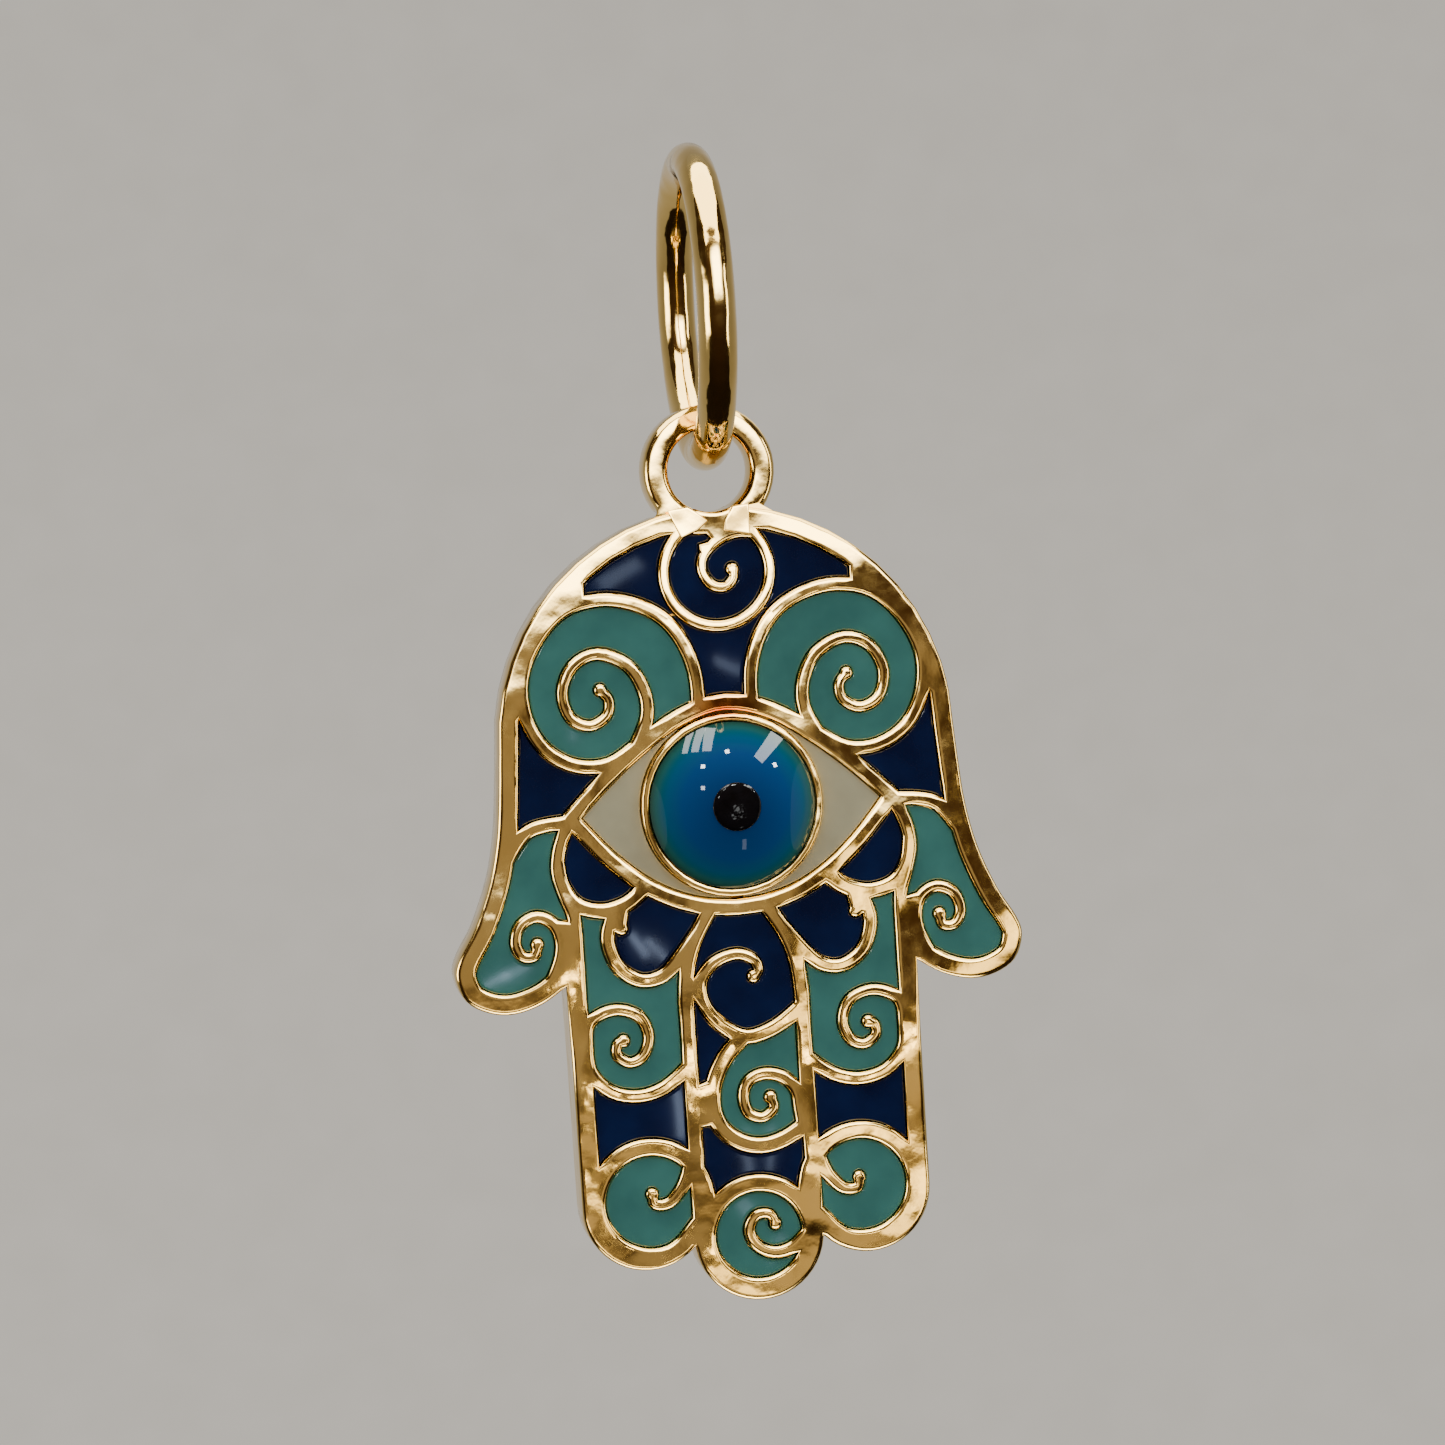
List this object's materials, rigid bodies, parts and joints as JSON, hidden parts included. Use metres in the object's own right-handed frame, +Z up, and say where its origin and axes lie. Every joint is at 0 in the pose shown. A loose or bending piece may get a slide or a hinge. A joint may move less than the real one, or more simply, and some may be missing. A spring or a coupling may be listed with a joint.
{
  "type": "hamsa pendant",
  "caption": "Flat hand-shaped pendant with an eye in its palm, enamelled between raised gold wires, hanging by a round eyelet from a wire jump ring.",
  "frame": {"origin": "inside top of the jump ring, where a chain carries the pendant", "axes": "+Z up along the hanging pendant, +X to the right of the enamelled face, the enamelled face looks along -Y"},
  "size_m": [0.0106, 0.006, 0.0212],
  "materials": {
    "gold": "polished",
    "navy_enamel": "gloss",
    "teal_enamel": "gloss",
    "cream_enamel": "gloss",
    "iris": "gloss",
    "pupil": "gloss"
  },
  "bodies": {
    "ring": {"jump_ring": "gold"},
    "pendant": {"hand_frame": "gold", "iris": "iris", "pupil": "pupil", "eye_white_left": "cream_enamel", "eye_white_right": "cream_enamel", "navy_crown": "navy_enamel", "navy_brow_left": "navy_enamel", "navy_brow_right": "navy_enamel", "navy_bridge": "navy_enamel", "navy_cheek_left": "navy_enamel", "navy_cheek_right": "navy_enamel", "navy_petal_left": "navy_enamel", "navy_petal_right": "navy_enamel", "navy_leaf_left": "navy_enamel", "navy_leaf_right": "navy_enamel", "navy_palm": "navy_enamel", "navy_sliver": "navy_enamel", "navy_band_left": "navy_enamel", "navy_band_middle": "navy_enamel", "navy_band_right": "navy_enamel", "teal_scroll_left": "teal_enamel", "teal_scroll_right": "teal_enamel", "teal_thumb_left": "teal_enamel", "teal_thumb_right": "teal_enamel", "teal_finger_left": "teal_enamel", "teal_finger_right": "teal_enamel", "teal_palm": "teal_enamel", "teal_tip_left": "teal_enamel", "teal_tip_middle": "teal_enamel", "teal_tip_right": "teal_enamel"}
  },
  "joints": [
    {"name": "pendant_swing", "type": "hinge", "parent": "ring", "child": "pendant", "pos_m": [0, 0, -0.00495], "axis": [0, 1, 0], "range_deg": [-90, 90]}
  ]
}
